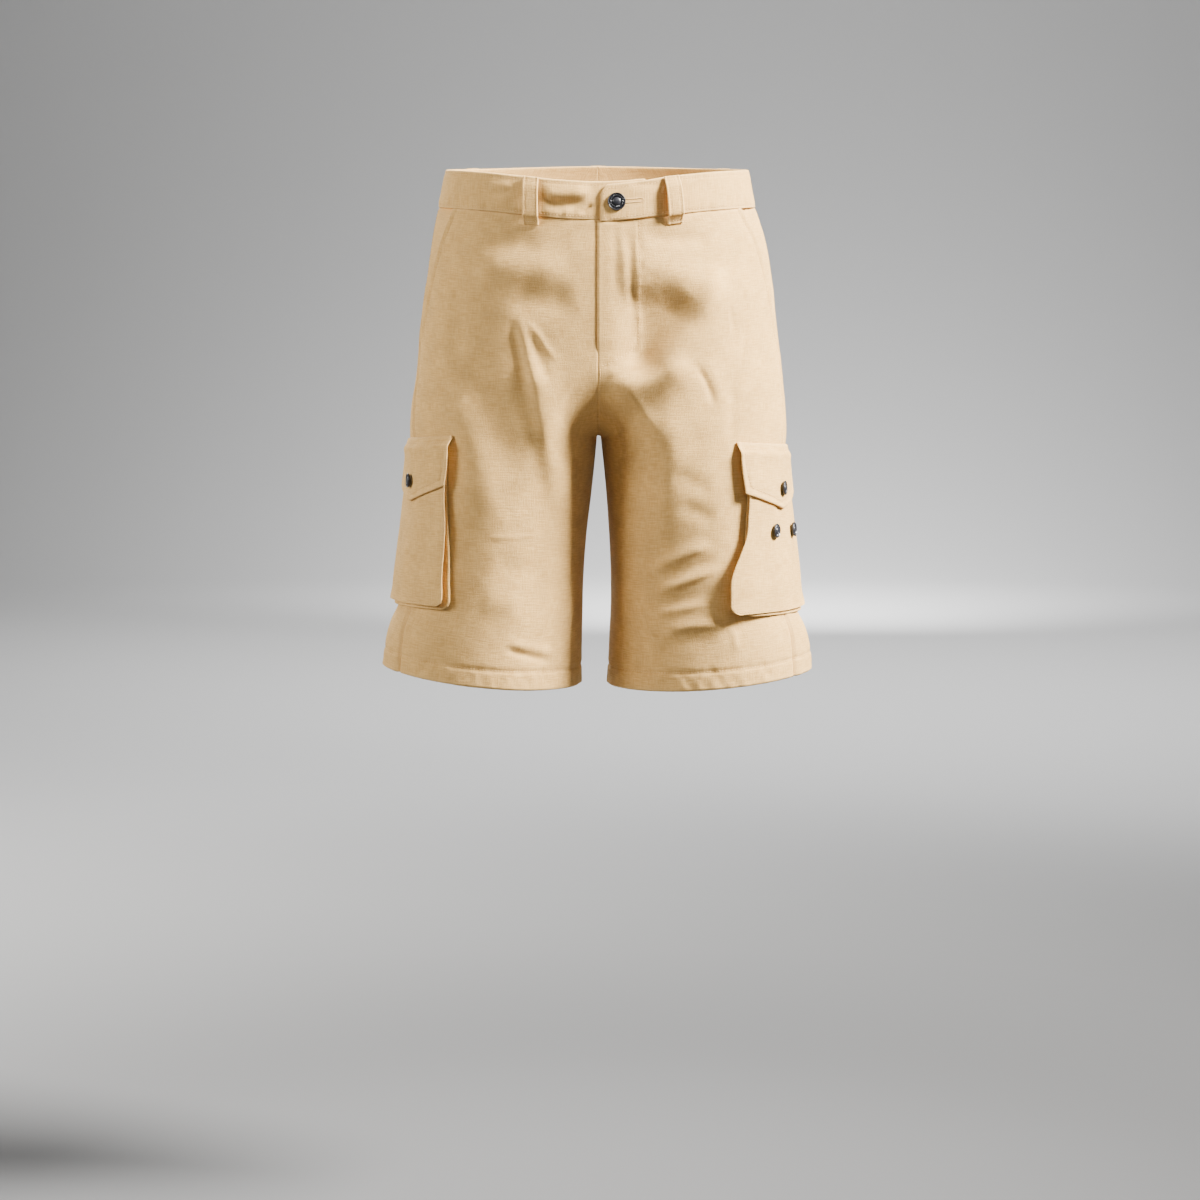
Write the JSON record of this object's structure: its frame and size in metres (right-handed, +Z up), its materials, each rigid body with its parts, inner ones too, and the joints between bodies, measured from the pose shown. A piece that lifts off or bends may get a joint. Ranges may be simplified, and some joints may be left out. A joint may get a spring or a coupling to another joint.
{
  "type": "cargo shorts",
  "caption": "Cargo shorts filled out as worn, open at waist and hems, with a buttoned waistband, lapped fly, belt loops, slanted hip pockets and flapped thigh pockets.",
  "frame": {"origin": "the centre of the waistband, where a waist holds the shorts up", "axes": "+Z up, -Y towards the front of the garment, +X towards the wearer's left"},
  "size_m": [0.4257, 0.2364, 0.5133],
  "materials": {
    "canvas": "sand-coloured plain-woven cotton canvas, matt",
    "zip_tape": "woven tape, matt",
    "button": "black, satin"
  },
  "bodies": {
    "root": {"front_left": "canvas", "front_right": "canvas", "back_left": "canvas", "back_right": "canvas", "hip_facing_left": "canvas", "hip_facing_right": "canvas", "waistband_left": "canvas", "waistband_right": "canvas", "fly_shield": "canvas", "loop_front_right": "canvas", "loop_front_left": "canvas", "loop_side_right": "canvas", "loop_side_left": "canvas", "loop_back": "canvas", "cargo_gusset_left": "canvas", "cargo_gusset_right": "canvas", "cargo_pocket_left": "canvas", "cargo_pocket_right": "canvas", "cargo_flap_left": "canvas", "cargo_flap_right": "canvas", "fly_zip": "zip_tape", "waist_button": "button", "flap_button_left": "button", "flap_button_right": "button", "pocket_button_front": "button", "pocket_button_rear": "button"}
  },
  "joints": []
}
